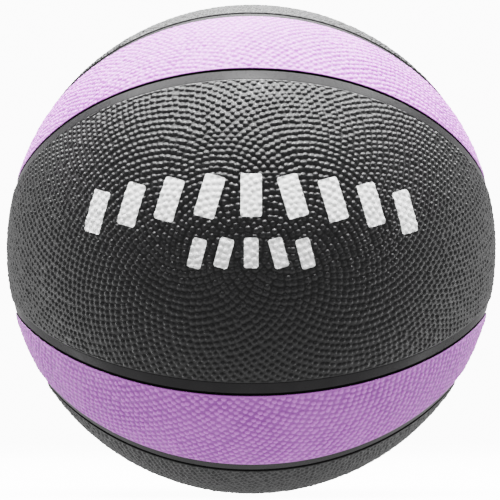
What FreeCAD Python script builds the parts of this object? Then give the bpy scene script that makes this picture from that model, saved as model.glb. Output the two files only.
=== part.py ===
"""Inflated rubber medicine ball: a pebbled two-colour cover over a weighted rubber core.

The origin is the ball's centre, +Z runs through the two round cap panels, -Y is the printed
front and +Y the back, where the inflation valve is.  Lengths are millimetres, angles degrees.
"""
import FreeCAD, Part
import math
import os

import Sketcher
from FreeCAD import Placement, Rotation, Vector

# Driving dimensions: name, value, meaning.
SIZES = [
    ("ball_radius", 117.0, "outside of the cover panels"),
    ("cover_thickness", 3.0, "pebbled rubber panels"),
    ("strip_recess", 0.4, "how far the smooth channel strips lie below the panels"),
    ("print_thickness", 0.1, "ink film pressed into the front belt panel"),
    ("core_thickness", 15.0, "filled rubber that gives the ball its weight"),
    ("winding_thickness", 1.0, "nylon thread wound round the bladder"),
    ("bladder_thickness", 1.8, "butyl bladder that holds the air"),
    ("patch_thickness", 1.2, "rubber patch that bonds the valve into the bladder"),
    ("patch_radius", 24.0, "outside radius of that patch"),
    ("flange_thickness", 2.0, "foot of the valve housing, inside the bladder"),
    ("flange_radius", 16.0, "outside radius of that foot"),
    ("valve_radius", 6.0, "stem of the valve housing"),
    ("plug_radius", 2.5, "self-sealing valve plug"),
    ("plug_lip_radius", 3.6, "lip that keeps the plug from being blown out"),
    ("plug_lip_thickness", 1.8, "length of that lip along the valve"),
    ("needle_radius", 1.0, "pilot hole for an inflating needle"),
    ("needle_depth", 8.0, "pilot hole's depth; beyond it the plug is only slit"),
    ("needle_lead_in", 0.6, "countersink at the hole's mouth"),
    ("band_inner_front", 38.2, "latitude of a coloured band's inner edge, front and back"),
    ("band_inner_side", 15.0, "the same edge at the two sides"),
    ("band_outer_front", 61.7, "latitude of a band's outer edge, front and back"),
    ("band_outer_side", 29.8, "the same edge at the two sides"),
    ("strip_angle", 3.1, "width of a channel strip"),
    ("upper_bars_pitch", 8.9, "longitude between bars of the upper printed row"),
    ("upper_bar_width", 9.2, "bars of the upper row"),
    ("upper_bar_height", 19.0, "bars of the upper row"),
    ("upper_row_rise", 13.2, "middle of the upper row above the centre"),
    ("upper_row_drop", 5.0, "how far the row's ends hang below its middle"),
    ("lower_bars_pitch", 5.8, "longitude between bars of the lower printed row"),
    ("lower_bar_width", 6.2, "bars of the lower row"),
    ("lower_bar_height", 13.0, "bars of the lower row"),
    ("lower_row_rise", -11.8, "middle of the lower row above the centre"),
    ("lower_row_drop", 0.0, "the lower row is straight"),
    ("bar_lean", 16.0, "tilt of the printed bars towards the middle"),
    ("plug_lip_gap", 0.2, "play between the plug's lip and the housing's foot"),
    ("cone_near", 8.0, "height of a seam cone's small end, well inside the hollow"),
    ("cone_far", 125.0, "height of its large end, outside the ball"),
]

UPPER_BARS = 9
LOWER_BARS = 5
PARTS_FOLDER = "parts"

doc = FreeCAD.newDocument("medicine_ball")
sheet = doc.addObject("Spreadsheet::Sheet", "sizes")
sheet.set("A1", "name")
sheet.set("B1", "value")
sheet.set("C1", "meaning")
for row, (alias, value, meaning) in enumerate(SIZES, start=2):
    sheet.set(f"A{row}", alias)
    sheet.set(f"B{row}", str(value))
    sheet.set(f"C{row}", meaning)
    sheet.setAlias(f"B{row}", alias)
doc.recompute()

BALL = "sizes.ball_radius"
COVER_INSIDE = f"{BALL} - sizes.cover_thickness"
CORE_INSIDE = f"{COVER_INSIDE} - sizes.core_thickness"
WINDING_INSIDE = f"{CORE_INSIDE} - sizes.winding_thickness"
BLADDER_INSIDE = f"{WINDING_INSIDE} - sizes.bladder_thickness"
PATCH_INSIDE = f"{BLADDER_INSIDE} - sizes.patch_thickness"
FLANGE_INSIDE = f"{PATCH_INSIDE} - sizes.flange_thickness"
STRIP_OUTSIDE = f"{BALL} - sizes.strip_recess"
PRINT_INSIDE = f"{BALL} - sizes.print_thickness"
subparts = []


def number(expression):
    """Present value of an expression in the sheet's sizes."""
    return float(sheet.evalExpression(expression.replace("sizes.", "")))


def subpart(feature, label):
    """Lists a finished feature as a sub-part with its own label."""
    feature.Label = label
    subparts.append(feature)
    return feature


def new_body(label):
    """An empty body at the ball's centre."""
    body = doc.addObject("PartDesign::Body", label)
    body.Placement = Placement()
    return body


def new_sketch(body, name):
    """A sketch on the body's own XY plane; sections drawn there are turned about Y."""
    plane = next(f for f in body.Origin.OriginFeatures if f.Role == "XY_Plane")
    sketch = body.newObject("Sketcher::SketchObject", name)
    sketch.AttachmentSupport = [(plane, "")]
    sketch.MapMode = "FlatFace"
    return sketch


def bind(sketch, constraint, name, expression):
    """Adds a dimension to a sketch, names it and drives it from the sheet."""
    index = sketch.addConstraint(constraint)
    sketch.renameConstraint(index, name)
    sketch.setExpression(f"Constraints.{name}", expression)


def turn(body, sketch):
    """Turns a sketch's section right round the Y axis."""
    feature = body.newObject("PartDesign::Revolution", f"{sketch.Name}_turned")
    feature.Profile = sketch
    feature.ReferenceAxis = (sketch, ["V_Axis"])
    feature.Angle = 360.0
    body.Tip = feature


def end_angle(end, radius, pole):
    """Where an arc of a shell section ends: at a pole, the parting plane or a hole's wall."""
    if end == "pole":
        return pole
    if end == "parting":
        return 0.0
    return math.acos(number(end) / radius)


def draw_shell(sketch, inside, outside, start="pole", finish="pole"):
    """Section of a spherical shell between two radii, from its -Y end round to its +Y end.

    An end is a pole, the parting plane y = 0, or the radius of a hole or rim about Y.
    """
    arcs = []
    for name, expression in (("outside", outside), ("inside", inside)):
        radius = number(expression)
        first = end_angle(start, radius, -math.pi / 2)
        last = end_angle(finish, radius, math.pi / 2)
        circle = Part.Circle(Vector(), Vector(0, 0, 1), radius)
        arc = sketch.addGeometry(Part.ArcOfCircle(circle, first, last))
        sketch.addConstraint(Sketcher.Constraint("Coincident", arc, 3, -1, 1))
        bind(sketch, Sketcher.Constraint("Radius", arc, radius), name, expression)
        arcs.append(arc)
    for point, end, name in ((1, start, "start"), (2, finish, "finish")):
        places = [sketch.getPoint(arc, point) for arc in arcs]
        line = sketch.addGeometry(Part.LineSegment(*places))
        for line_point, arc in enumerate(arcs, start=1):
            sketch.addConstraint(Sketcher.Constraint("Coincident", line, line_point, arc, point))
        if end in ("pole", "parting"):
            axis = -2 if end == "pole" else -1
            for line_point in (1, 2):
                sketch.addConstraint(Sketcher.Constraint("PointOnObject", line, line_point, axis))
        else:
            sketch.addConstraint(Sketcher.Constraint("Vertical", line))
            reach = Sketcher.Constraint("DistanceX", -1, 1, line, 1, number(end))
            bind(sketch, reach, f"{name}_radius", end)


def draw_outline(sketch, corners):
    """A straight-sided section through corners given as pairs of expressions; "0" is the axis."""
    places = [Vector(number(x), number(y), 0) for x, y in corners]
    lines = []
    for here, there in zip(places, places[1:] + places[:1]):
        lines.append(sketch.addGeometry(Part.LineSegment(here, there)))
    for index, (x, y) in enumerate(corners):
        line = lines[index]
        previous = lines[index - 1]
        sketch.addConstraint(Sketcher.Constraint("Coincident", previous, 2, line, 1))
        if x == "0":
            sketch.addConstraint(Sketcher.Constraint("PointOnObject", line, 1, -2))
        else:
            reach = Sketcher.Constraint("DistanceX", -1, 1, line, 1, number(x))
            bind(sketch, reach, f"radius_{index}", x)
        height = Sketcher.Constraint("DistanceY", -1, 1, line, 1, number(y))
        bind(sketch, height, f"height_{index}", y)


def shell_body(label, inside, outside, start="pole", finish="pole"):
    """A body made of one turned shell section."""
    body = new_body(label)
    sketch = new_sketch(body, f"{label}_section")
    draw_shell(sketch, inside, outside, start, finish)
    turn(body, sketch)
    return body


def boolean(kind, name, *operands):
    """A Part boolean: Cut and Common take two operands."""
    feature = doc.addObject(f"Part::{kind}", name)
    feature.Base, feature.Tool = operands
    feature.Refine = True
    return feature


def seam_cone(name, front, side, up):
    """Solid cone from the centre whose meeting with the sphere is one seam loop.

    Its elliptical section is wide towards X, where the seam runs at the latitude `side`,
    and narrow towards Y, where it runs at the latitude `front`.
    """
    sections = []
    for end in ("near", "far"):
        ellipse = doc.addObject("Part::Ellipse", f"{name}_{end}")
        height = f"sizes.cone_{end}"
        ellipse.setExpression("MajorRadius", f"{height} / tan({side})")
        ellipse.setExpression("MinorRadius", f"{height} / tan({front})")
        ellipse.setExpression("Placement.Base.z", f"{height} * {up}")
        sections.append(ellipse)
    cone = doc.addObject("Part::Loft", name)
    cone.Sections = sections
    cone.Solid = True
    cone.Ruled = True
    return cone


def halves(ring):
    """Splits a closed ring at the plane y = 0, where its two lengths of rubber butt."""
    return (boolean("Common", f"{ring.Name}_front", ring, front_space),
            boolean("Common", f"{ring.Name}_back", ring, back_space))


def half_space(name, front):
    """A block that holds everything in front of or behind the centre."""
    block = doc.addObject("Part::Box", name)
    for side in ("Length", "Width", "Height"):
        block.setExpression(side, f"4 * {BALL}")
    block.setExpression("Placement.Base.x", f"-2 * {BALL}")
    block.setExpression("Placement.Base.y", f"-4 * {BALL}" if front else "0")
    block.setExpression("Placement.Base.z", f"-2 * {BALL}")
    return block


def printed_bars(row, count):
    """A row of leaning blocks that stamp the printed bars, fanned about the Z axis."""
    bars = []
    middle = (count - 1) / 2
    for index in range(count):
        bar = doc.addObject("Part::Box", f"{row}_bar_{index + 1}")
        bar.setExpression("Length", f"sizes.{row}_bar_width")
        bar.setExpression("Width", f"{BALL}")
        bar.setExpression("Height", f"sizes.{row}_bar_height")
        step = index - middle
        turn_by = number(f"sizes.{row}_bars_pitch") * step
        lean_by = -number("sizes.bar_lean") * (step > 0) + number("sizes.bar_lean") * (step < 0)
        drop = number(f"sizes.{row}_row_drop") * (step / middle) ** 2
        rise = number(f"sizes.{row}_row_rise") - drop
        corner = Vector(-number(f"sizes.{row}_bar_width") / 2,
                        -number(BALL) * 1.5,
                        -number(f"sizes.{row}_bar_height") / 2)
        lean = Placement(Vector(0, 0, rise), Rotation(Vector(0, 1, 0), lean_by))
        swing = Placement(Vector(), Rotation(Vector(0, 0, 1), turn_by))
        bar.Placement = swing * lean * Placement(corner, Rotation())
        bars.append(bar)
    return bars


# Inside of the ball, from the air outwards.
subpart(shell_body("bladder", BLADDER_INSIDE, WINDING_INSIDE, finish="sizes.valve_radius"), "bladder")
subpart(shell_body("nylon_winding", WINDING_INSIDE, CORE_INSIDE, finish="sizes.valve_radius"),
        "nylon_winding")
subpart(shell_body("weight_core_front", CORE_INSIDE, COVER_INSIDE, finish="parting"),
        "weight_core_front")
subpart(shell_body("weight_core_back", CORE_INSIDE, COVER_INSIDE, "parting", "sizes.valve_radius"),
        "weight_core_back")

# The valve: a patch and a flanged housing at the bladder, and a plug in the housing.
subpart(shell_body("valve_patch", PATCH_INSIDE, BLADDER_INSIDE, "sizes.patch_radius",
                   "sizes.valve_radius"), "valve_patch")

housing = shell_body("valve_housing", FLANGE_INSIDE, PATCH_INSIDE,
                     "sizes.flange_radius", "sizes.plug_radius")
stem_section = new_sketch(housing, "stem_section")
STEM_FOOT = f"{FLANGE_INSIDE} + sizes.flange_thickness / 2"
draw_outline(stem_section, [
    ("sizes.plug_radius", STEM_FOOT),
    ("sizes.valve_radius", STEM_FOOT),
    ("sizes.valve_radius", STRIP_OUTSIDE),
    ("sizes.plug_radius", STRIP_OUTSIDE),
])
turn(housing, stem_section)
subpart(housing, "valve_housing")

plug = new_body("valve_plug")
plug_section = new_sketch(plug, "plug_section")
LIP_TOP = f"{FLANGE_INSIDE} - sizes.plug_lip_gap"
LIP_FOOT = f"{LIP_TOP} - sizes.plug_lip_thickness"
NEEDLE_FOOT = f"{STRIP_OUTSIDE} - sizes.needle_depth"
draw_outline(plug_section, [
    ("0", LIP_FOOT),
    ("sizes.plug_lip_radius", LIP_FOOT),
    ("sizes.plug_lip_radius", LIP_TOP),
    ("sizes.plug_radius", LIP_TOP),
    ("sizes.plug_radius", STRIP_OUTSIDE),
    ("sizes.needle_radius + sizes.needle_lead_in", STRIP_OUTSIDE),
    ("sizes.needle_radius", f"{STRIP_OUTSIDE} - sizes.needle_lead_in"),
    ("sizes.needle_radius", NEEDLE_FOOT),
    ("0", NEEDLE_FOOT),
])
turn(plug, plug_section)
subpart(plug, "valve_plug")

# The cover: shells cut along the seam cones into the belt, bands, caps and channel strips.
front_space = half_space("front_space", True)
back_space = half_space("back_space", False)
cover_blank = shell_body("cover_blank", COVER_INSIDE, BALL)
strip_blank = shell_body("strip_blank", COVER_INSIDE, STRIP_OUTSIDE)
belt_blank = cover_blank
for place, up in (("upper", 1), ("lower", -1)):
    strip = "sizes.strip_angle"
    belt_edge, band_inner, band_outer, cap_edge = (
        seam_cone(f"{place}_{edge}", front, side, up)
        for edge, front, side in (
            ("belt_edge", f"sizes.band_inner_front - {strip}", f"sizes.band_inner_side - {strip}"),
            ("band_inner", "sizes.band_inner_front", "sizes.band_inner_side"),
            ("band_outer", "sizes.band_outer_front", "sizes.band_outer_side"),
            ("cap_edge", f"sizes.band_outer_front + {strip}", f"sizes.band_outer_side + {strip}"),
        )
    )
    belt_blank = boolean("Cut", f"belt_without_{place}", belt_blank, belt_edge)
    for kind, blank, outer, inner in (
        ("belt_channel_strip", strip_blank, belt_edge, band_inner),
        ("band", cover_blank, band_inner, band_outer),
        ("cap_channel_strip", strip_blank, band_outer, cap_edge),
    ):
        name = f"{place}_{kind}"
        disc = boolean("Common", f"{name}_disc", blank, outer)
        ring = boolean("Cut", f"{name}_ring", disc, inner)
        if kind == "band":
            front, back = halves(ring)
            subpart(front, f"{name}_front")
            subpart(back, f"{name}_back")
        else:
            subpart(ring, name)
    subpart(boolean("Common", f"{place}_cap", cover_blank, cap_edge), f"{place}_cap_panel")

# The belt: an ink film is pressed into its front half, and the valve comes out of its back half.
belt_front, belt_back = halves(belt_blank)
print_blank = shell_body("print_blank", PRINT_INSIDE, BALL)
stamp = doc.addObject("Part::Compound", "stamp")
stamp.Links = printed_bars("upper", UPPER_BARS) + printed_bars("lower", LOWER_BARS)
ink = subpart(boolean("Common", "ink_film", print_blank, stamp), "printed_bars")
subpart(boolean("Cut", "belt_front_with_print", belt_front, ink), "belt_panel_front")

valve_hole = doc.addObject("Part::Cylinder", "valve_hole")
valve_hole.setExpression("Radius", "sizes.valve_radius")
valve_hole.setExpression("Height", f"2 * {BALL}")
valve_hole.Placement = Placement(Vector(), Rotation(Vector(1, 0, 0), -90))
subpart(boolean("Cut", "belt_back_with_hole", belt_back, valve_hole), "belt_panel_back")

doc.recompute()
for thing in doc.Objects:
    if "Invalid" in thing.State or "Error" in thing.State:
        raise RuntimeError(f"{thing.Name} did not build")
for thing in subparts:
    if thing.Shape.isNull() or not thing.Shape.isValid():
        raise RuntimeError(f"{thing.Label} has no valid shape")

os.makedirs(PARTS_FOLDER, exist_ok=True)
for thing in subparts:
    thing.Shape.exportStep(os.path.join(PARTS_FOLDER, f"{thing.Label}.step"))
    box = thing.Shape.BoundBox
    print(f"{thing.Label:28s} {thing.Shape.Volume / 1000:9.2f} cm3  {len(thing.Shape.Solids)} solids"
          f"  x {box.XMin:.1f}..{box.XMax:.1f} y {box.YMin:.1f}..{box.YMax:.1f}"
          f" z {box.ZMin:.1f}..{box.ZMax:.1f}")
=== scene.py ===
"""Looks of the pebbled rubber medicine ball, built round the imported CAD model.

Metres, in the CAD frame: the ball's centre is the origin, +Z runs through the cap panels, -Y is
the printed front and +Y the back with the valve.  Longitudes are measured from +X towards +Y.
"""

import math

import bpy
import numpy as np
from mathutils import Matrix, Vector


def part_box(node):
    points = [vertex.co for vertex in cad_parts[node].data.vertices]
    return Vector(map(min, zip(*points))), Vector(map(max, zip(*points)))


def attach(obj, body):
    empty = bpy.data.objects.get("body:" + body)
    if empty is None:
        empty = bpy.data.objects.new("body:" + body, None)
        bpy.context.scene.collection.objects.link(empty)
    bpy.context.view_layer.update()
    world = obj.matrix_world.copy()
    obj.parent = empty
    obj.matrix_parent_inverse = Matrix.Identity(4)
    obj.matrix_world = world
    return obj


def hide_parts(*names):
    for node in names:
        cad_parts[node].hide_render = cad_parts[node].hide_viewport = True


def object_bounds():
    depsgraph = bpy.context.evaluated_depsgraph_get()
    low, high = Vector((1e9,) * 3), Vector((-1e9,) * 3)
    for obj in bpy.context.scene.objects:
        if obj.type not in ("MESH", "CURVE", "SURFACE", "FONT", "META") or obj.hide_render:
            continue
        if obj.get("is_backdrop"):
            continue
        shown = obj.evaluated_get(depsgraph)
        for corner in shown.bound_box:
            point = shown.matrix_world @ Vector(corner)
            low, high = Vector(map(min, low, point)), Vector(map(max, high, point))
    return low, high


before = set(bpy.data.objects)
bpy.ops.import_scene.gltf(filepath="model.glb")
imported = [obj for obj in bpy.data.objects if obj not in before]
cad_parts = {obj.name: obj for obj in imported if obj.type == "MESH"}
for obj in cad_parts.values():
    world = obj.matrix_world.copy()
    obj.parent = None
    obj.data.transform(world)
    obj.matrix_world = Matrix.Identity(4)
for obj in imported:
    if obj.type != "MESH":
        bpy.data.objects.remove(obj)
cad_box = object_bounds()

MM = 0.001
BALL_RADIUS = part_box("upper_cap_panel")[1].z
COVER_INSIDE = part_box("weight_core_front")[1].x
STRIP_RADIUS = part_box("valve_housing")[1].y
VALVE_RADIUS = 6.0 * MM
RING_RADIUS = 10.0 * MM  # smooth moulded ring round the valve

# Pebbles: domes on a spiral lattice round the Y axis, so their rows curve about the front.
PEBBLE_PITCH = 3.05 * MM
PEBBLE_HEIGHT = 0.62 * MM
PEBBLE_REACH = 0.45  # radius of a pebble, in pitches
PEBBLE_POWER = 3.0  # 2 is a round dome, and more a flatter one
PEBBLE_JITTER = 0.08  # spread of the pebbles' centres, in pitches
PEBBLE_SPREAD = 0.14  # spread of their heights
PEBBLE_COUNT = round(4 * math.pi * BALL_RADIUS**2 / (PEBBLE_PITCH**2 * math.sin(math.pi / 3)))
VALLEY_RADIUS = BALL_RADIUS - PEBBLE_HEIGHT
GOLDEN = (1 + math.sqrt(5)) / 2
POINTS_AT_ONCE = 50000  # pebble heights are worked out in lots of about this many points

# Panels.
EDGE_ROUND = 0.3 * MM  # radius of the edges of the panels and strips
EDGE_STEPS = (0.0, 0.04, 0.14, 0.3, 0.5, 0.75, 1.0)  # rows over that edge, in its radii
BUTT_ROUND = 0.22 * MM  # the finer edges where two lengths of one panel butt
BUTT_STEPS = (0.0, 0.3, 1.0)  # columns over that edge, in its radii
BUTT_FADE = 0.5 * MM  # pebbles start at half height at a butt and are whole half this far in
LIP_WIDTH = 0.4 * MM  # smooth lip inside a panel's edge
LIP_FADE = 0.8 * MM  # width over which the pebbles rise beside it
LIP_HEIGHT = 0.5 * PEBBLE_HEIGHT
RING_MARGIN = 0.3 * MM  # smooth rubber left between the valve's ring and the pebbles
MESH_STEP = 0.42 * MM  # width of the faces that carry the pebbles
COLUMN_RADIUS = 0.9 * BALL_RADIUS  # radius of the parallel where a panel's columns are that wide
INNER_ROWS = 12  # rows across a panel's hidden inner face
INNER_RINGS = (1.0, 0.85, 0.7, 0.5, 0.3, 0.12)  # rings across a cap's inner face
SHARP_ANGLE = math.radians(75)  # edges sharper than this stay sharp

# Channel strips, and how far a panel and a strip each stand back from their seam.
OPEN_GROOVE = 0.60 * MM  # on the strip's side towards the cap
TIGHT_GROOVE = 0.15 * MM  # and on its side towards the belt
STRIP_DROP = 0.35 * MM  # puts the strips' faces a little lower than the pebbles' floor
GROOVE_DEPTH = 1.3 * MM  # down to the floor of a groove from a strip's nominal face
GROOVE_FLOORED = 1.9  # width of that floor, in half grooves; 2 would touch the panel
STRIP_COLUMNS = 900  # round the ball
STRIP_ROWS = 19  # across a strip's face

# Printed bars: the pitch is the longitude between bars, and the drop how far a row's ends hang.
UPPER_ROW = {"count": 9, "width": 9.2 * MM, "height": 19.0 * MM, "pitch": math.radians(8.9),
             "rise": 13.2 * MM, "drop": 5.0 * MM}
LOWER_ROW = {"count": 5, "width": 6.2 * MM, "height": 13.0 * MM, "pitch": math.radians(5.8),
             "rise": -11.8 * MM, "drop": 0.0}
BAR_CORNER = 1.1 * MM
BAR_STEP = 0.35 * MM  # width of the faces of the ink
BAR_LEAN = math.radians(16)
INK_FILL = 0.25  # share of a pebble's height to which the ink fills the valleys
INK_THICKNESS = 0.07 * MM  # above the rubber, and as much below its face

random = np.random.default_rng(236)
pebble_rise = 1 + PEBBLE_SPREAD * random.standard_normal(PEBBLE_COUNT)
pebble_shift = PEBBLE_JITTER * PEBBLE_PITCH / BALL_RADIUS * random.standard_normal((PEBBLE_COUNT, 3))


def golden_fraction(index):
    """Turns taken by the spiral at an index, without its whole turns."""
    return np.mod(index * (GOLDEN - 1), 1.0)


def pebble_centres(index):
    """Directions of the domes' centres, in the spiral's own axes."""
    height = 1 - (2 * index + 1) / PEBBLE_COUNT
    radius = np.sqrt(1 - height**2)
    angle = 2 * np.pi * golden_fraction(index)
    centres = np.stack([radius * np.cos(angle), radius * np.sin(angle), height], -1)
    return centres + pebble_shift[index]


def pebble_height(points):
    """Height of the pebbled surface above its valleys at points given as directions."""
    parts = np.array_split(points, max(1, len(points) // POINTS_AT_ONCE))
    return np.concatenate([pebble_height_of(part) for part in parts])


def pebble_height_of(points):
    """The same for one lot of points, each taken from the pebble nearest to it.

    A pebble is a round dome with a flattened top, which stands on a flat floor.  The spiral
    lattice is close to a skewed grid wherever one looks, so the pebbles near a point are the
    corners round its cell in that grid.
    """
    spiral = np.stack([points[:, 0], points[:, 2], -points[:, 1]], -1)
    angle = np.arctan2(spiral[:, 1], spiral[:, 0])
    height = spiral[:, 2]
    smallest = 1e-9  # keeps the logarithm finite at the spiral's two ends
    ring = np.log(PEBBLE_COUNT * np.pi * math.sqrt(5) * np.maximum(1 - height**2, smallest))
    ring = np.maximum(2, np.floor(ring / (2 * math.log(GOLDEN))))
    first = np.round(GOLDEN**ring / math.sqrt(5))
    second = np.round(GOLDEN ** (ring + 1) / math.sqrt(5))
    steps = []
    for number in (first, second):
        turn = 2 * np.pi * (golden_fraction(number + 1) - (GOLDEN - 1))
        steps.append((turn, -2 * number / PEBBLE_COUNT))
    (turn_a, rise_a), (turn_b, rise_b) = steps
    scale = turn_a * rise_b - turn_b * rise_a
    top = 1 - 1 / PEBBLE_COUNT
    along_a = np.floor((angle * rise_b - turn_b * (height - top)) / scale)
    along_b = np.floor((turn_a * (height - top) - angle * rise_a) / scale)
    corners = np.array([(a, b) for a in (-1, 0, 1, 2) for b in (-1, 0, 1, 2)])[:, :, None]
    near = rise_a * (along_a + corners[:, 0]) + rise_b * (along_b + corners[:, 1]) + top
    near = np.clip(near, -1, 1) * 2 - near  # past an end of the spiral, heights run back
    index = np.floor(PEBBLE_COUNT * (1 - near) / 2).astype(int)
    index = np.clip(index, 0, PEBBLE_COUNT - 1)
    gap = np.sum((pebble_centres(index) - spiral) ** 2, -1)
    closest = np.argmin(gap, 0)[None, :]
    own_gap = np.take_along_axis(gap, closest, 0)[0]
    own_rise = pebble_rise[np.take_along_axis(index, closest, 0)[0]]
    share = np.clip(np.sqrt(own_gap) * BALL_RADIUS / (PEBBLE_PITCH * PEBBLE_REACH), 0, 1)
    return PEBBLE_HEIGHT * own_rise * (1 - share**PEBBLE_POWER)


def direction(longitude, latitude):
    """Unit vectors at longitudes and latitudes, spread over each other's rows and columns."""
    longitude, latitude = np.broadcast_arrays(longitude, latitude)
    flat = np.cos(latitude)
    return np.stack([flat * np.cos(longitude), flat * np.sin(longitude), np.sin(latitude)], -1)


def seam(node, radius):
    """A seam loop: the tangents of its latitude at the sides and at the front and back."""
    low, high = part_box(node)
    side = math.acos(high.x / radius)
    front = math.acos(-low.y / radius)
    return math.tan(side), math.tan(front)


def seam_latitude(loop, longitude):
    """Latitude of a seam loop, which rises from the sides to the front and back."""
    side, front = loop
    return np.arctan(np.hypot(side * np.cos(longitude), front * np.sin(longitude)))


def seam_squint(loop, longitude):
    """Cosine of the angle between a seam and the parallel through it."""
    step = 1e-4
    rise = seam_latitude(loop, longitude + step) - seam_latitude(loop, longitude - step)
    slope = rise / (2 * step * np.cos(seam_latitude(loop, longitude)))
    return 1 / np.sqrt(1 + slope**2)


BELT_EDGE = seam("upper_belt_channel_strip", STRIP_RADIUS)
BAND_INNER = seam("upper_band_front", BALL_RADIUS)
BAND_OUTER = seam("upper_cap_channel_strip", STRIP_RADIUS)
CAP_EDGE = seam("upper_cap_panel", BALL_RADIUS)


def full_turn(columns):
    """Angles of a number of columns spaced evenly round a circle."""
    return np.linspace(0, 2 * math.pi, columns, endpoint=False)


def eased(share):
    """A share between 0 and 1, eased at both ends."""
    return share * share * (3 - 2 * share)


def rounded_drop(distance, radius):
    """How far a rounded edge falls at a distance in from the wall."""
    inside = np.clip(radius - distance, 0, radius)
    return radius - np.sqrt(radius**2 - inside**2)


def make_piece(name, points, faces, material, node, walls=()):
    """A smooth-shaded mesh piece from points and a list of face arrays, riding on the ball.

    walls numbers the face arrays that lie in a groove, where bare black rubber shows.
    """
    mesh = bpy.data.meshes.new(name + "_detail")
    mesh.vertices.add(len(points))
    mesh.vertices.foreach_set("co", np.asarray(points, np.float32).ravel())
    corners = np.concatenate([np.asarray(f).ravel() for f in faces])
    sizes = np.concatenate([np.full(len(f), f.shape[1]) for f in faces])
    starts = np.concatenate([[0], np.cumsum(sizes)[:-1]])
    mesh.loops.add(len(corners))
    mesh.loops.foreach_set("vertex_index", corners.astype(np.int32))
    mesh.polygons.add(len(sizes))
    mesh.polygons.foreach_set("loop_start", starts.astype(np.int32))
    mesh.polygons.foreach_set("use_smooth", np.ones(len(sizes), bool))
    in_groove = np.concatenate([np.full(len(f), i in walls) for i, f in enumerate(faces)])
    mesh.materials.append(material)
    if walls:
        mesh.materials.append(groove_rubber)
    mesh.polygons.foreach_set("material_index", in_groove.astype(np.int32))
    mesh.update(calc_edges=True)
    mesh.validate()
    mesh.set_sharp_from_angle(angle=SHARP_ANGLE)
    piece = bpy.data.objects.new(name + "_detail", mesh)
    bpy.context.scene.collection.objects.link(piece)
    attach(piece, "root")
    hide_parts(node)
    return piece


def grid_faces(grid, closed=False):
    """Quads between the neighbours of a grid of point numbers."""
    if closed:
        grid = np.concatenate([grid, grid[:, :1]], 1)
    return np.stack([grid[:-1, :-1], grid[:-1, 1:], grid[1:, 1:], grid[1:, :-1]], -1).reshape(-1, 4)


def rim_of(grid):
    """The point numbers round the border of a grid, each once."""
    return np.concatenate([grid[0, :-1], grid[:-1, -1], grid[-1, :0:-1], grid[:0:-1, 0]])


def across(near, far, near_squint, far_squint):
    """Latitudes across a panel: close rows over each rounded edge and even rows between."""
    edge = EDGE_ROUND * np.array(EDGE_STEPS)[:, None] / BALL_RADIUS
    near_rows = near + edge / near_squint
    far_rows = far - edge / far_squint
    widest = np.max(far - near) * BALL_RADIUS
    count = int(widest / MESH_STEP)
    share = np.linspace(0, 1, count + 1)[1:-1, None]
    middle = near_rows[-1] * (1 - share) + far_rows[-1] * share
    return np.concatenate([near_rows, middle, far_rows[::-1]])


def along(start, finish, radius):
    """Longitudes along a panel: close columns at each butt and even columns between."""
    edge = BUTT_ROUND * np.array(BUTT_STEPS) / radius
    count = int((finish - start) * radius / MESH_STEP)
    middle = np.linspace(start + edge[-1], finish - edge[-1], count + 1)[1:-1]
    return np.concatenate([start + edge, middle, finish - edge[::-1]])


def panel(name, near_loop, far_loop, front, sign, material):
    """Half of a belt or band: a thick pebbled strip between two seams, over half a turn.

    near_loop is None for the belt, which runs from the lower seam to the upper one.
    """
    start = -math.pi if front else 0.0
    longitude = along(start, start + math.pi, COLUMN_RADIUS)
    far_squint = seam_squint(far_loop, longitude)
    far = seam_latitude(far_loop, longitude) - TIGHT_GROOVE / (BALL_RADIUS * far_squint)
    if near_loop is None:
        near, near_squint = -far, far_squint
    else:
        near_squint = seam_squint(near_loop, longitude)
        near = seam_latitude(near_loop, longitude) + OPEN_GROOVE / (BALL_RADIUS * near_squint)
    latitude = across(near, far, near_squint, far_squint)
    edge = np.minimum((latitude - near) * near_squint, (far - latitude) * far_squint) * BALL_RADIUS
    butt = np.minimum(longitude - longitude[0], longitude[-1] - longitude) * np.cos(latitude)
    outward = direction(longitude, latitude * sign).reshape(-1, 3)
    radius = surface_radius(outward, edge.ravel(), butt.ravel() * BALL_RADIUS)
    outer = outward * radius[:, None]
    share = np.linspace(0, 1, INNER_ROWS)[:, None]
    inner_latitude = near * (1 - share) + far * share
    inner = direction(longitude, inner_latitude * sign).reshape(-1, 3) * COVER_INSIDE
    outer_grid = np.arange(len(outer)).reshape(latitude.shape)
    inner_grid = len(outer) + np.arange(len(inner)).reshape(inner_latitude.shape)
    faces = [
        grid_faces(outer_grid),
        grid_faces(inner_grid[::-1]),
        grid_faces(np.stack([inner_grid[0], outer_grid[0]])),
        grid_faces(np.stack([outer_grid[-1], inner_grid[-1]])),
        np.concatenate([outer_grid[:, 0], inner_grid[::-1, 0]])[None, :],
        np.concatenate([outer_grid[::-1, -1], inner_grid[:, -1]])[None, :],
    ]
    if sign < 0:
        faces = [face[:, ::-1] for face in faces]
    return make_piece(name, np.concatenate([outer, inner]), faces, material, name, walls=(2, 3))


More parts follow.
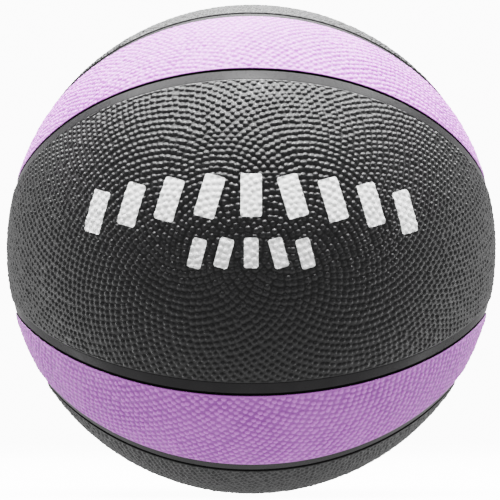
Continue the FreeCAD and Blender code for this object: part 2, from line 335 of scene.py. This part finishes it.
def surface_radius(outward, edge, butt=None):
    """Radius of a pebbled panel at directions, given distances in from its edges.

    The pebbles die away into a smooth lip along each edge and into the ring round the valve.
    """
    from_valve = np.hypot(outward[:, 0], outward[:, 2]) * BALL_RADIUS
    from_valve = np.where(outward[:, 1] > 0, from_valve, BALL_RADIUS)
    pebbled = np.minimum(edge - LIP_WIDTH, from_valve - RING_RADIUS - RING_MARGIN)
    fade = np.clip(pebbled / LIP_FADE, 0, 1)
    if butt is not None:
        fade = np.minimum(fade, np.clip(0.5 + butt / BUTT_FADE, 0, 1))
    radius = VALLEY_RADIUS + LIP_HEIGHT + (pebble_height(outward) - LIP_HEIGHT) * eased(fade)
    radius -= rounded_drop(edge, EDGE_ROUND)
    if butt is not None:
        radius -= rounded_drop(butt, BUTT_ROUND)
    return radius


def cap(name, sign, material):
    """A cap panel: a thick pebbled oval inside one seam loop."""
    side, front = CAP_EDGE
    length = (math.pi - 2 * math.atan(side)) * BALL_RADIUS
    width = (math.pi - 2 * math.atan(front)) * BALL_RADIUS
    columns = int(length / MESH_STEP)
    rows = int(width / MESH_STEP)
    u, v = np.meshgrid(np.linspace(-1, 1, columns), np.linspace(-1, 1, rows))
    # An even square grid pressed into a disc, then stretched into the oval on the sphere.
    x = u * np.sqrt(1 - v**2 / 2)
    y = v * np.sqrt(1 - u**2 / 2)
    share = np.minimum(np.hypot(x, y), 1)
    longitude = np.arctan2(y / front, x / side)
    squint = seam_squint(CAP_EDGE, longitude)
    edge_latitude = seam_latitude(CAP_EDGE, longitude) + OPEN_GROOVE / (BALL_RADIUS * squint)
    latitude = math.pi / 2 - share * (math.pi / 2 - edge_latitude)
    edge = (latitude - edge_latitude) * squint * BALL_RADIUS
    outward = direction(longitude, latitude * sign).reshape(-1, 3)
    outer = outward * surface_radius(outward, edge.ravel())[:, None]
    grid = np.arange(len(outer)).reshape(latitude.shape)
    rim = rim_of(grid)
    rim_longitude = longitude.ravel()[rim]
    reach = math.pi / 2 - edge_latitude.ravel()[rim]
    rings = [direction(rim_longitude, sign * (math.pi / 2 - size * reach)) * COVER_INSIDE
             for size in INNER_RINGS]
    ring_grid = len(outer) + np.arange(len(rings) * len(rim)).reshape(len(rings), -1)
    faces = [
        grid_faces(grid),
        grid_faces(np.stack([ring_grid[0], rim]), closed=True),
        grid_faces(ring_grid[::-1], closed=True),
        ring_grid[-1, ::-1][None, :],
    ]
    if sign < 0:
        faces = [face[:, ::-1] for face in faces]
    return make_piece(name, np.concatenate([outer, *rings]), faces, material, name, walls=(1,))


def channel_strip(name, near_loop, far_loop, sign, material):
    """A smooth strip right round the ball between two seam loops."""
    longitude = full_turn(STRIP_COLUMNS)
    squint = seam_squint(near_loop, longitude)
    near = seam_latitude(near_loop, longitude) + TIGHT_GROOVE / (BALL_RADIUS * squint)
    far = seam_latitude(far_loop, longitude) - OPEN_GROOVE / (BALL_RADIUS * squint)
    # The rows lie closest together at the strip's two edges.
    share = (1 - np.cos(np.linspace(0, math.pi, STRIP_ROWS))[:, None]) / 2
    latitude = near * (1 - share) + far * share
    edge = np.minimum(latitude - near, far - latitude) * squint * BALL_RADIUS
    radius = STRIP_RADIUS - STRIP_DROP - rounded_drop(edge, EDGE_ROUND)
    # The strip's foot runs out under the grooves on both sides and floors them.
    near_foot = near - GROOVE_FLOORED * TIGHT_GROOVE / (BALL_RADIUS * squint)
    far_foot = far + GROOVE_FLOORED * OPEN_GROOVE / (BALL_RADIUS * squint)
    latitude = np.concatenate([latitude, [far, far_foot, far_foot, near_foot, near_foot, near]])
    floor = STRIP_RADIUS - GROOVE_DEPTH
    under = np.array([floor, floor, COVER_INSIDE, COVER_INSIDE, floor, floor])
    radius = np.concatenate([radius, np.repeat(under[:, None], STRIP_COLUMNS, 1)])
    points = direction(longitude, latitude * sign) * radius[..., None]
    grid = np.arange(radius.size).reshape(radius.shape)
    shown = grid_faces(grid[:STRIP_ROWS], closed=True)
    hidden = grid_faces(np.concatenate([grid[STRIP_ROWS - 1:], grid[:1]]), closed=True)
    if sign < 0:
        shown = shown[:, ::-1]
        hidden = hidden[:, ::-1]
    return make_piece(name, points.reshape(-1, 3), [shown, hidden], material, name, walls=(1,))


def bar_points(width, height, longitude, lean, rise):
    """Directions over one leaning, round-cornered printed bar, as a grid."""
    columns = int(width / BAR_STEP)
    rows = int(height / BAR_STEP)
    u, v = np.meshgrid(np.linspace(-1, 1, columns), np.linspace(-1, 1, rows))
    x = u * width / 2
    z = v * height / 2
    past_x = np.clip(np.abs(x) - (width / 2 - BAR_CORNER), 0, None)
    past_z = np.clip(np.abs(z) - (height / 2 - BAR_CORNER), 0, None)
    x -= np.sign(x) * past_x * (1 - np.sqrt(1 - past_z**2 / (2 * BAR_CORNER**2)))
    z -= np.sign(z) * past_z * (1 - np.sqrt(1 - past_x**2 / (2 * BAR_CORNER**2)))
    leaning_x = x * math.cos(lean) + z * math.sin(lean)
    leaning_z = rise - x * math.sin(lean) + z * math.cos(lean)
    forward = -np.sqrt(BALL_RADIUS**2 - leaning_x**2 - leaning_z**2)
    turned_x = leaning_x * math.cos(longitude) - forward * math.sin(longitude)
    turned_y = leaning_x * math.sin(longitude) + forward * math.cos(longitude)
    return np.stack([turned_x, turned_y, leaning_z], -1) / BALL_RADIUS


def bar_row(count, width, height, pitch, rise, drop):
    """The bars of one printed row, set out about the Z axis and leaning to its middle."""
    middle = (count - 1) / 2
    for index in range(count):
        step = index - middle
        lean = -BAR_LEAN * np.sign(step)
        sag = drop * (step / middle) ** 2
        yield bar_points(width, height, pitch * step, lean, rise - sag)


def printed_bars(material):
    """The ink on the belt's front: a film that follows the pebbles and partly fills their valleys."""
    points = []
    faces = []
    count = 0
    for bar in (*bar_row(**UPPER_ROW), *bar_row(**LOWER_ROW)):
        outward = bar.reshape(-1, 3)
        height = np.maximum(pebble_height(outward), INK_FILL * PEBBLE_HEIGHT)
        top = outward * (VALLEY_RADIUS + height + INK_THICKNESS)[:, None]
        bottom = outward * (VALLEY_RADIUS + height - INK_THICKNESS)[:, None]
        grid = count + np.arange(len(outward)).reshape(bar.shape[:2])
        rim = rim_of(grid)
        below = len(outward)
        faces += [
            grid_faces(grid),
            grid_faces(grid[::-1] + below),
            grid_faces(np.stack([rim + below, rim]), closed=True),
        ]
        points += [top, bottom]
        count += 2 * len(outward)
    return make_piece("printed_bars", np.concatenate(points), faces, material, "printed_bars")


def lathe(name, profile, ring, material, node):
    """A closed piece turned about the Y axis from (radius, height) pairs in millimetres.

    A ring's profile closes on itself; any other starts and ends in a small flat at the axis.
    """
    columns = 96
    angle = full_turn(columns)
    radius, height = (np.array(profile) * MM).T[:, :, None]
    points = np.stack([radius * np.cos(angle), height + 0 * angle, -radius * np.sin(angle)], -1)
    grid = np.arange(len(profile) * columns).reshape(len(profile), columns)
    if ring:
        faces = [grid_faces(np.concatenate([grid, grid[:1]]), closed=True)]
    else:
        faces = [grid_faces(grid, closed=True), grid[0, ::-1][None, :], grid[-1][None, :]]
    return make_piece(name, points.reshape(-1, 3), faces, material, node)


def arc(centre_radius, centre_height, size, start, finish, count=5):
    """Points of a profile's rounded corner, with angles in degrees from the radius's direction."""
    angles = np.radians(np.linspace(start, finish, count))
    return [(centre_radius + size * math.cos(a), centre_height + size * math.sin(a)) for a in angles]


# The valve's radii, in millimetres as lathe() takes them.
STEM = VALVE_RADIUS / MM
RING = RING_RADIUS / MM
PLUG = 2.5
NEEDLE = 1.0


def valve_housing(material):
    """The valve's flanged housing, whose rounded top is dished round the plug."""
    low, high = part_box("valve_housing")
    foot, top, flange = low.y / MM, high.y / MM, high.x / MM
    seat = 1.4  # height of the bore's end above the foot
    flange_round, stem_round, mouth_round = 0.8, 0.5, 0.4
    fillet_width, fillet_low, fillet_high = 0.5, 3.2, 3.8
    rim, bevel, ledge = 1.4, 0.5, 0.5  # widths of the flat rim, its inner slope and the plug's ledge
    bevel_depth, dish_depth = 0.35, 0.45
    profile = [(PLUG, foot + seat)]
    profile += arc(flange - flange_round, foot + flange_round, flange_round, -90, 90)
    profile += [(STEM + fillet_width, foot + fillet_low), (STEM, foot + fillet_high)]
    profile += arc(STEM - stem_round, top - stem_round, stem_round, 0, 90)
    profile += [(STEM - rim, top), (STEM - rim - bevel, top - bevel_depth)]
    profile += [(PLUG + ledge, top - dish_depth)]
    profile += arc(PLUG + mouth_round, top - dish_depth - mouth_round, mouth_round, 90, 180)
    lathe("valve_housing", profile, True, material, "valve_housing")


def valve_plug(material):
    """The self-sealing plug, with its retaining lip and the pilot hole for a needle."""
    low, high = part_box("valve_plug")
    sunk = 0.5  # how far the plug's face lies below the housing's
    foot, top, lip = low.y / MM, high.y / MM - sunk, high.x / MM
    axis = 0.3  # radius of the small flats that close the piece at its axis
    lip_round, plug_round = 0.5, 0.35
    lip_height, neck_height = 1.3, 1.8
    lead_in, lead_in_depth, hole_depth, hole_tip = 0.55, 0.6, 7.4, 0.1
    profile = [(axis, foot)]
    profile += arc(lip - lip_round, foot + lip_round, lip_round, -90, 0)
    profile += [(lip, foot + lip_height), (PLUG, foot + neck_height)]
    profile += arc(PLUG - plug_round, top - plug_round, plug_round, 0, 90)
    profile += [(NEEDLE + lead_in, top), (NEEDLE, top - lead_in_depth)]
    profile += [(NEEDLE, top - hole_depth), (axis, top - hole_depth - hole_tip)]
    lathe("valve_plug", profile, False, material, "valve_plug")


def valve_ring(material):
    """The smooth moulded ring that ends the belt's pebbles round the valve."""
    outer_round, inner_round = 0.4, 0.5
    rows = 9  # over the ring's face, which swells a little between its edges
    swell = 0.25
    play = 0.12  # between the ring and the valve's stem
    bore_margin = 0.6  # from the stem to the nearest row of the face
    foot_rise = 0.1  # the ring's foot is this much higher at its bore than at its outside
    inner = STEM + play
    face = np.linspace(RING - outer_round, STEM + bore_margin, rows)
    level = np.sqrt(((VALLEY_RADIUS + LIP_HEIGHT) / MM) ** 2 - face**2)
    swollen = level + swell * np.sin(np.linspace(0, math.pi, rows))
    foot = math.sqrt(COVER_INSIDE**2 - RING_RADIUS**2) / MM
    profile = [(RING, foot), (RING, level[0] - outer_round)]
    profile += arc(RING - outer_round, level[0] - outer_round, outer_round, 30, 60, 2)
    profile += list(zip(face, swollen))
    profile += arc(inner + inner_round, level[-1] - inner_round, inner_round, 120, 180, 4)
    profile += [(inner, foot + foot_rise)]
    lathe("belt_panel_back_ring", profile, True, material, "belt_panel_back")


def cut_valve_hole(piece):
    """Cuts the seat of the moulded ring out of the belt, with a cylinder right through it."""
    columns = 128
    ends = (COVER_INSIDE * 0.9, BALL_RADIUS * 1.1)
    points = [(RING_RADIUS * math.cos(angle), end, -RING_RADIUS * math.sin(angle))
              for end in ends for angle in full_turn(columns)]
    grid = np.arange(2 * columns).reshape(2, columns)
    faces = grid_faces(grid, closed=True).tolist() + [grid[0, ::-1].tolist(), grid[1].tolist()]
    mesh = bpy.data.meshes.new("valve_hole")
    mesh.from_pydata(points, [], faces)
    cutter = bpy.data.objects.new("valve_hole", mesh)
    bpy.context.scene.collection.objects.link(cutter)
    cut = piece.modifiers.new("valve_hole", "BOOLEAN")
    cut.operation = "DIFFERENCE"
    cut.solver = "MANIFOLD"
    cut.object = cutter
    uncut = piece.data
    evaluated = piece.evaluated_get(bpy.context.evaluated_depsgraph_get())
    shaped = bpy.data.meshes.new_from_object(evaluated)
    piece.modifiers.clear()
    piece.data = shaped
    shaped.set_sharp_from_angle(angle=SHARP_ANGLE)
    bpy.data.objects.remove(cutter)
    bpy.data.meshes.remove(mesh)
    bpy.data.meshes.remove(uncut)
    shaped.name = piece.name


# ---------------------------------------------------------------- materials


def map_range(tree, output, source, target, interpolation="LINEAR"):
    """Maps an output's range, given as (low, high), to another range."""
    node = tree.nodes.new("ShaderNodeMapRange")
    node.interpolation_type = interpolation
    names = ("From Min", "From Max", "To Min", "To Max")
    for name, value in zip(names, (*source, *target)):
        node.inputs[name].default_value = value
    tree.links.new(output, node.inputs["Value"])
    return node.outputs["Result"]


class Shader:
    """A material's node tree, with short calls for the nodes used here."""

    def __init__(self, name, roughness, specular=0.5):
        self.material = bpy.data.materials.new(name)
        self.material.use_nodes = True
        self.tree = self.material.node_tree
        self.surface = self.tree.nodes["Principled BSDF"]
        self.surface.inputs["Roughness"].default_value = roughness
        self.surface.inputs["Specular IOR Level"].default_value = specular
        self.place = self.tree.nodes.new("ShaderNodeTexCoord").outputs["Object"]

    def node(self, kind, **values):
        """A node with some of its properties set."""
        made = self.tree.nodes.new(kind)
        for name, value in values.items():
            setattr(made, name, value)
        return made

    def link(self, output, socket):
        """Joins an output to a socket."""
        self.tree.links.new(output, socket)

    def noise(self, size, detail=3.0, roughness=0.55):
        """Smooth noise whose lumps are about `size` metres."""
        made = self.node("ShaderNodeTexNoise")
        made.inputs["Scale"].default_value = 1 / size
        made.inputs["Detail"].default_value = detail
        made.inputs["Roughness"].default_value = roughness
        self.link(self.place, made.inputs["Vector"])
        return made.outputs["Fac"]

    def spread(self, output, low, high, to_low=0.0, to_high=1.0):
        """Maps an output's range low..high to another."""
        return map_range(self.tree, output, (low, high), (to_low, to_high))

    def blend(self, share, first, second):
        """A colour between two, each a colour or an output."""
        made = self.node("ShaderNodeMix", data_type="RGBA")
        self.link(share, made.inputs["Factor"])
        for name, value in (("A", first), ("B", second)):
            socket = next(i for i in made.inputs if i.name == name and i.type == "RGBA")
            if isinstance(value, tuple):
                socket.default_value = (*value, 1)
            else:
                self.link(value, socket)
        return next(o for o in made.outputs if o.type == "RGBA")

    def colour(self, output):
        """Colours the surface."""
        self.link(output, self.surface.inputs["Base Color"])

    def rough(self, output):
        """Makes the surface's roughness vary."""
        self.link(output, self.surface.inputs["Roughness"])

    def vary_roughness(self, size, low, high):
        """Makes the surface's roughness wander between two values over lumps of a size."""
        self.rough(self.spread(self.noise(size), 0.3, 0.7, low, high))

    def bump(self, output, depth):
        """Adds fine relief of a depth in metres."""
        made = self.node("ShaderNodeBump")
        made.inputs["Strength"].default_value = 1.0
        made.inputs["Distance"].default_value = depth
        self.link(output, made.inputs["Height"])
        self.link(made.outputs["Normal"], self.surface.inputs["Normal"])

    def depth_below(self, radius, depth):
        """0 at a radius from the ball's centre, rising to 1 at a depth below it."""
        made = self.node("ShaderNodeVectorMath", operation="LENGTH")
        self.link(self.place, made.inputs[0])
        return self.spread(made.outputs["Value"], radius, radius - depth)


def cover_rubber(name, top, valley_shade, tint, roughness, specular, bloom=0.0):
    """Pebbled moulded rubber: tops paled by wear, valleys darkened with painted shade, faint
    cloudiness and fine grain.

    bloom is the weight of the chalky sheen that pale rubber shows at a glancing angle.
    """
    shader = Shader(name, roughness, specular)
    shader.surface.inputs["Sheen Weight"].default_value = bloom
    shader.surface.inputs["Sheen Roughness"].default_value = 0.5
    # Wear and painted shade: the colour darkens from the pebbles' tops, paled by wear, down to
    # painted shade in their valleys.
    wear_and_shade_from = BALL_RADIUS - 0.1 * PEBBLE_HEIGHT
    wear_and_valley_shade = shader.blend(shader.depth_below(wear_and_shade_from, 0.8 * PEBBLE_HEIGHT), top, valley_shade)
    cloud = shader.spread(shader.noise(22 * MM), 0.35, 0.65)
    clouded = shader.blend(shader.spread(cloud, 0, 1, 0.0, 0.30), wear_and_valley_shade, tint)
    fleck = shader.spread(shader.noise(1.3 * MM, 2.0), 0.62, 0.75, 0.0, 0.35)
    shader.colour(shader.blend(fleck, clouded, tint))
    shader.vary_roughness(4 * MM, roughness - 0.06, roughness + 0.06)
    shader.bump(shader.noise(0.35 * MM, 2.0), 0.03 * MM)
    return shader.material


def smooth_rubber(name, colour, tint, roughness):
    """Smooth moulded rubber with faint mould marks."""
    shader = Shader(name, roughness, specular=0.08)
    cloud = shader.spread(shader.noise(15 * MM), 0.35, 0.65)
    shader.colour(shader.blend(cloud, colour, tint))
    shader.vary_roughness(3 * MM, roughness - 0.05, roughness + 0.07)
    shader.bump(shader.noise(0.5 * MM, 2.0), 0.015 * MM)
    return shader.material


def printing_ink():
    """Matt white ink, slightly mottled where it lies thin over the pebbles."""
    shader = Shader("white_ink", roughness=0.6, specular=0.3)
    mottle = shader.spread(shader.noise(1.1 * MM, 3.0), 0.45, 0.72)
    shader.colour(shader.blend(mottle, (0.97, 0.97, 0.97), (0.84, 0.84, 0.85)))
    shader.vary_roughness(2 * MM, 0.52, 0.68)
    shader.bump(shader.noise(0.4 * MM, 2.0), 0.03 * MM)
    return shader.material


def filled_rubber():
    """Heavy core rubber, speckled with its mineral filler."""
    speck_size = 1.6 * MM
    shader = Shader("filled_rubber", roughness=0.8, specular=0.3)
    speck = shader.node("ShaderNodeTexVoronoi")
    speck.inputs["Scale"].default_value = 1 / speck_size
    shader.link(shader.place, speck.inputs["Vector"])
    grain = shader.spread(speck.outputs["Distance"], 0.15, 0.3)
    shader.colour(shader.blend(grain, (0.11, 0.10, 0.09), (0.035, 0.032, 0.03)))
    shader.vary_roughness(5 * MM, 0.72, 0.9)
    shader.bump(speck.outputs["Distance"], 0.15 * MM)
    return shader.material


def wound_thread():
    """Nylon thread laid in crossing bands."""
    strand_scale = 1 / (14 * MM)  # lays a strand about every 4.4 mm
    leans = (35, -50)  # degrees by which the two bands lean
    shader = Shader("wound_thread", roughness=0.55, specular=0.4)
    heights = []
    for lean in leans:
        turned = shader.node("ShaderNodeMapping")
        turned.inputs["Rotation"].default_value = (math.radians(lean), math.radians(lean / 2), 0)
        shader.link(shader.place, turned.inputs["Vector"])
        strands = shader.node("ShaderNodeTexWave", wave_profile="SIN")
        strands.inputs["Scale"].default_value = strand_scale
        strands.inputs["Distortion"].default_value = 1.2
        shader.link(turned.outputs["Vector"], strands.inputs["Vector"])
        heights.append(strands.outputs["Fac"])
    top = shader.node("ShaderNodeMath", operation="MAXIMUM")
    for socket, height in zip(top.inputs, heights):
        shader.link(height, socket)
    shader.colour(shader.blend(top.outputs["Value"], (0.30, 0.28, 0.22), (0.74, 0.71, 0.62)))
    shader.rough(shader.spread(top.outputs["Value"], 0, 1, 0.8, 0.5))
    shader.bump(top.outputs["Value"], 0.2 * MM)
    return shader.material


# ---------------------------------------------------------------- the ball

# The colour each rubber takes in its valleys is painted shade, darker than its tops.
black = cover_rubber("black_pebbled_rubber", top=(0.0070, 0.0070, 0.0075),
                     valley_shade=(0.0020, 0.0020, 0.0022), tint=(0.009, 0.0088, 0.0095),
                     roughness=0.23, specular=0.33)
purple = cover_rubber("purple_pebbled_rubber", top=(0.77, 0.275, 0.94),
                      valley_shade=(0.36, 0.085, 0.51), tint=(0.79, 0.310, 0.95),
                      roughness=0.28, specular=0.33, bloom=0.2)
groove_rubber = smooth_rubber("groove_rubber", (0.003, 0.0028, 0.0032), (0.004, 0.0038, 0.0042), 0.6)
strip_rubber = smooth_rubber("channel_rubber", (0.018, 0.0176, 0.0184), (0.024, 0.0234, 0.0245), 0.28)
valve_rubber = smooth_rubber("valve_rubber", (0.020, 0.020, 0.021), (0.028, 0.028, 0.030), 0.35)
butyl = smooth_rubber("butyl_rubber", (0.022, 0.022, 0.024), (0.035, 0.034, 0.036), 0.45)
core = filled_rubber()
thread = wound_thread()

panel("belt_panel_front", None, BELT_EDGE, True, 1, black)
cut_valve_hole(panel("belt_panel_back", None, BELT_EDGE, False, 1, black))
valve_ring(black)
for place, sign in (("upper", 1), ("lower", -1)):
    for side in ("front", "back"):
        front = side == "front"
        panel(f"{place}_band_{side}", BAND_INNER, BAND_OUTER, front, sign, purple)
    cap(f"{place}_cap_panel", sign, black)
    channel_strip(f"{place}_belt_channel_strip", BELT_EDGE, BAND_INNER, sign, strip_rubber)
    channel_strip(f"{place}_cap_channel_strip", BAND_OUTER, CAP_EDGE, sign, strip_rubber)
printed_bars(printing_ink())
valve_housing(valve_rubber)
valve_plug(valve_rubber)

# The hidden pieces keep their CAD shapes.
HIDDEN = {"weight_core_front": core, "weight_core_back": core, "nylon_winding": thread,
          "bladder": butyl, "valve_patch": butyl}
for node, material in HIDDEN.items():
    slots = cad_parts[node].data.materials
    slots.clear()
    slots.append(material)


# ---------------------------------------------------------------- floor, light and camera

CAMERA_DISTANCE = 9 * BALL_RADIUS
CAMERA_ELEVATION = math.radians(-5.0)
CAMERA_LENS = 157.6  # millimetres
CAMERA_SHIFT = (-0.0024, -0.0018)
FLOOR_REACH = 12.0
BACKDROP = 8.0  # how brightly the floor and the room behind the ball shine into the camera

# How brightly the room shines on the ball: its front, its back, and the pale floor below.
WORLD_FRONT = 0.36
WORLD_BACK = 0.82
WORLD_BELOW = 1.08


def floor():
    """A large pale floor that the ball stands on."""
    mesh = bpy.data.meshes.new("floor")
    ground = cad_box[0][2]
    corners = [(x * FLOOR_REACH, y * FLOOR_REACH, ground)
               for x, y in ((-1, -1), (1, -1), (1, 1), (-1, 1))]
    mesh.from_pydata(corners, [], [(0, 1, 2, 3)])
    shader = Shader("pale_floor", roughness=0.9, specular=0.1)
    shader.surface.inputs["Emission Color"].default_value = (1, 1, 1, 1)
    shader.surface.inputs["Emission Strength"].default_value = BACKDROP
    shader.colour(shader.blend(shader.noise(0.6), (0.62, 0.62, 0.62), (0.66, 0.66, 0.66)))
    mesh.materials.append(shader.material)
    ground_object = bpy.data.objects.new("floor", mesh)
    bpy.context.scene.collection.objects.link(ground_object)
    ground_object.visible_glossy = False
    ground_object.visible_diffuse = False
    ground_object.visible_shadow = False
    ground_object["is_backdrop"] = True


def combine(tree, operation, first, second):
    """Sum or product of two outputs."""
    node = tree.nodes.new("ShaderNodeMath")
    node.operation = operation
    tree.links.new(first, node.inputs[0])
    tree.links.new(second, node.inputs[1])
    return node.outputs[0]


def studio():
    """A white room that is darker at the front, with a plain white backdrop for the camera."""
    world = bpy.data.worlds.new("studio")
    bpy.context.scene.world = world
    world.use_nodes = True
    tree = world.node_tree
    tree.nodes.clear()
    place = tree.nodes.new("ShaderNodeTexCoord")
    split = tree.nodes.new("ShaderNodeSeparateXYZ")
    tree.links.new(place.outputs["Generated"], split.inputs[0])
    smooth = "SMOOTHSTEP"
    # The walls grow lighter from the front to the back.
    walls = map_range(tree, split.outputs["Y"], (-0.7, 0.15), (WORLD_FRONT, WORLD_BACK), smooth)
    # They fade out below the horizon, and at the two sides further down.
    sideways = tree.nodes.new("ShaderNodeMath")
    sideways.operation = "ABSOLUTE"
    tree.links.new(split.outputs["X"], sideways.inputs[0])
    lift = map_range(tree, sideways.outputs[0], (0.0, 1.0), (0.0, 0.8), smooth)
    lifted = combine(tree, "ADD", split.outputs["Z"], lift)
    upper = map_range(tree, lifted, (-0.5, 0.0), (0.0, 1.0), smooth)
    # Light comes up from the floor too, most of all from straight below.
    below = map_range(tree, split.outputs["Z"], (-1.0, -0.1), (WORLD_BELOW, 0.0), smooth)
    total = combine(tree, "ADD", combine(tree, "MULTIPLY", walls, upper), below)
    # The camera sees a plain white backdrop instead.
    shaders = []
    for strength in (total, None):
        shader = tree.nodes.new("ShaderNodeBackground")
        shader.inputs["Color"].default_value = (1, 1, 1, 1)
        shader.inputs["Strength"].default_value = BACKDROP
        if strength:
            tree.links.new(strength, shader.inputs["Strength"])
        shaders.append(shader.outputs[0])
    path = tree.nodes.new("ShaderNodeLightPath")
    mix = tree.nodes.new("ShaderNodeMixShader")
    for output, socket in zip((path.outputs["Is Camera Ray"], *shaders), mix.inputs):
        tree.links.new(output, socket)
    finish = tree.nodes.new("ShaderNodeOutputWorld")
    tree.links.new(mix.outputs[0], finish.inputs["Surface"])


def lamp(name, place, width, height, power):
    """A rectangular soft lamp that faces the ball, with its power in watts."""
    data = bpy.data.lights.new(name, "AREA")
    data.shape = "RECTANGLE"
    data.size = width
    data.size_y = height
    data.energy = power
    light = bpy.data.objects.new(name, data)
    light.location = place
    light.visible_camera = False
    light.rotation_euler = (-Vector(place)).to_track_quat("-Z", "Y").to_euler()
    bpy.context.scene.collection.objects.link(light)


def camera():
    """Looks at the ball's centre from a little below its middle."""
    data = bpy.data.cameras.new("camera")
    data.lens = CAMERA_LENS
    data.shift_x, data.shift_y = CAMERA_SHIFT
    data.clip_start = 0.05
    data.clip_end = 100
    eye = bpy.data.objects.new("camera", data)
    eye.location = (0, -CAMERA_DISTANCE * math.cos(CAMERA_ELEVATION),
                    CAMERA_DISTANCE * math.sin(CAMERA_ELEVATION))
    eye.rotation_euler = (-eye.location).to_track_quat("-Z", "Y").to_euler()
    bpy.context.scene.collection.objects.link(eye)
    bpy.context.scene.camera = eye


floor()
studio()
lamp("overhead", place=(0.0, 0.08, 2.0), width=3.4, height=3.3, power=395.0)
lamp("key", place=(0.0, -0.6, 1.8), width=0.45, height=0.2, power=34.0)
for side in (-1, 1):
    lamp("side", place=(2.0 * side, 0.7, -0.4), width=0.3, height=2.2, power=9.0)
camera()
bpy.context.scene.view_settings.view_transform = "Filmic"

[[list(corner) for corner in box] for box in (cad_box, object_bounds())]
